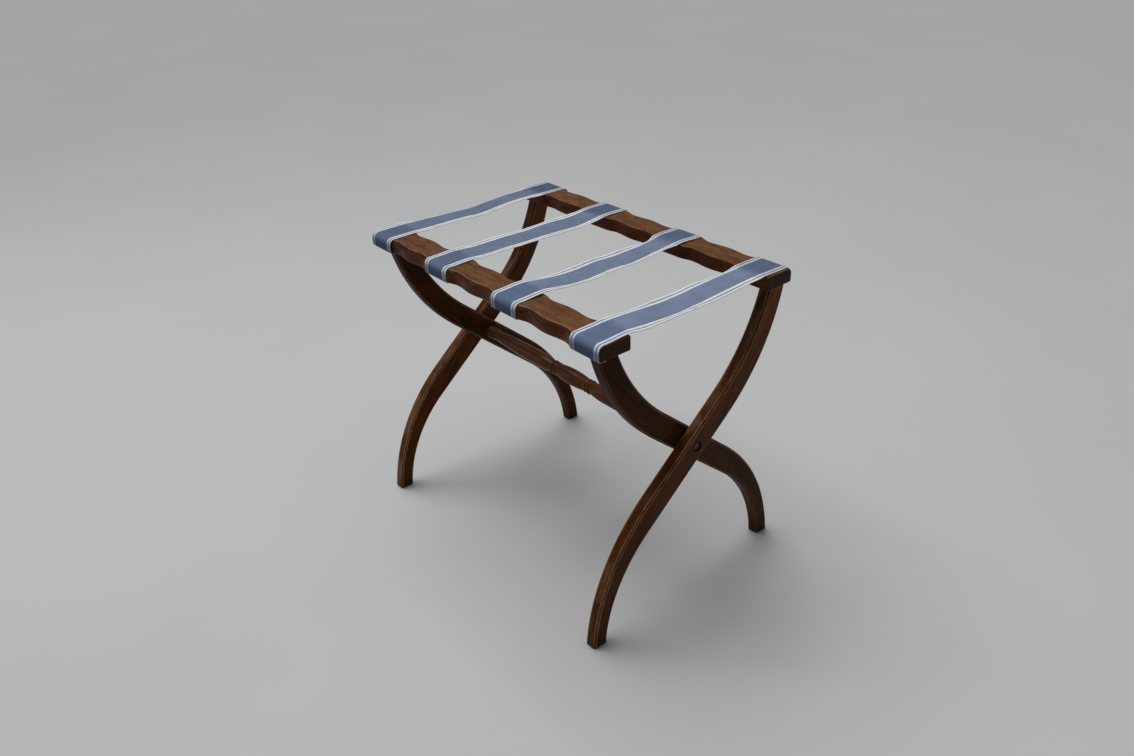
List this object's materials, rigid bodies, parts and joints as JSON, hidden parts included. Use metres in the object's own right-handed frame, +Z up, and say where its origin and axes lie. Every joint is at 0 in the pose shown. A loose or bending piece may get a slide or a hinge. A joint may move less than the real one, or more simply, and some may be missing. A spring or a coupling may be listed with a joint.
{
  "type": "hotel luggage bench",
  "caption": "Folding hotel luggage bench: crossed S-curved wooden legs pivot on a turned stretcher and carry scalloped top rails joined by striped webbing straps.",
  "frame": {"origin": "on the floor, under the centre of the open bench", "axes": "+X along the top rails, +Y across the bench towards the rear rail that the outer legs carry, +Z up"},
  "size_m": [0.58, 0.4206, 0.5089],
  "materials": {
    "rail_wood": "worn satin brown stain, lighter on the top faces",
    "leg_wood": "dark walnut stain, satin lacquer, rubbed pale along the edges",
    "stretcher_wood": "walnut stain, glossy lacquer, rubbed on the beads",
    "dowel_wood": "bare beech",
    "webbing": "woven webbing, blue with white edge stripes, matt",
    "pivot_steel": "dull zinc",
    "tack_steel": "blued steel"
  },
  "bodies": {
    "outer_frame": {"rear_rail": "rail_wood", "outer_leg_left": "leg_wood", "outer_leg_right": "leg_wood", "rear_rail_dowels": "dowel_wood", "rear_strap_tacks": "tack_steel", "strap_1_rear_end": "webbing", "strap_2_rear_end": "webbing", "strap_3_rear_end": "webbing", "strap_4_rear_end": "webbing"},
    "inner_frame": {"front_rail": "rail_wood", "inner_leg_left": "leg_wood", "inner_leg_right": "leg_wood", "stretcher": "stretcher_wood", "pivot_screw_left": "pivot_steel", "pivot_screw_right": "pivot_steel", "head_washer_left": "pivot_steel", "head_washer_right": "pivot_steel", "spacer_washer_left": "pivot_steel", "spacer_washer_right": "pivot_steel", "front_rail_dowels": "dowel_wood", "front_strap_tacks": "tack_steel", "strap_1_front_end": "webbing", "strap_2_front_end": "webbing", "strap_3_front_end": "webbing", "strap_4_front_end": "webbing"},
    "front_webbing": {"strap_1_front_half": "webbing", "strap_2_front_half": "webbing", "strap_3_front_half": "webbing", "strap_4_front_half": "webbing"},
    "rear_webbing": {"strap_1_rear_half": "webbing", "strap_2_rear_half": "webbing", "strap_3_rear_half": "webbing", "strap_4_rear_half": "webbing"}
  },
  "joints": [
    {"name": "fold", "type": "hinge", "parent": "outer_frame", "child": "inner_frame", "pos_m": [0, 0, 0.275], "axis": [-1, 0, 0], "range_deg": [0, 57]},
    {"name": "front_webbing_drop", "type": "hinge", "parent": "inner_frame", "child": "front_webbing", "pos_m": [0, -0.135, 0.5075], "axis": [-1, 0, 0], "range_deg": [0, 57.9], "deforming": ["strap_1_front_half", "strap_2_front_half", "strap_3_front_half", "strap_4_front_half"]},
    {"name": "rear_webbing_drop", "type": "hinge", "parent": "outer_frame", "child": "rear_webbing", "pos_m": [0, 0.135, 0.5075], "axis": [1, 0, 0], "range_deg": [0, 57.9], "deforming": ["strap_1_rear_half", "strap_2_rear_half", "strap_3_rear_half", "strap_4_rear_half"]}
  ],
  "couplings": [
    {"joint": "front_webbing_drop", "follows": "fold", "ratio": 1.015},
    {"joint": "rear_webbing_drop", "follows": "fold", "ratio": 1.015}
  ]
}
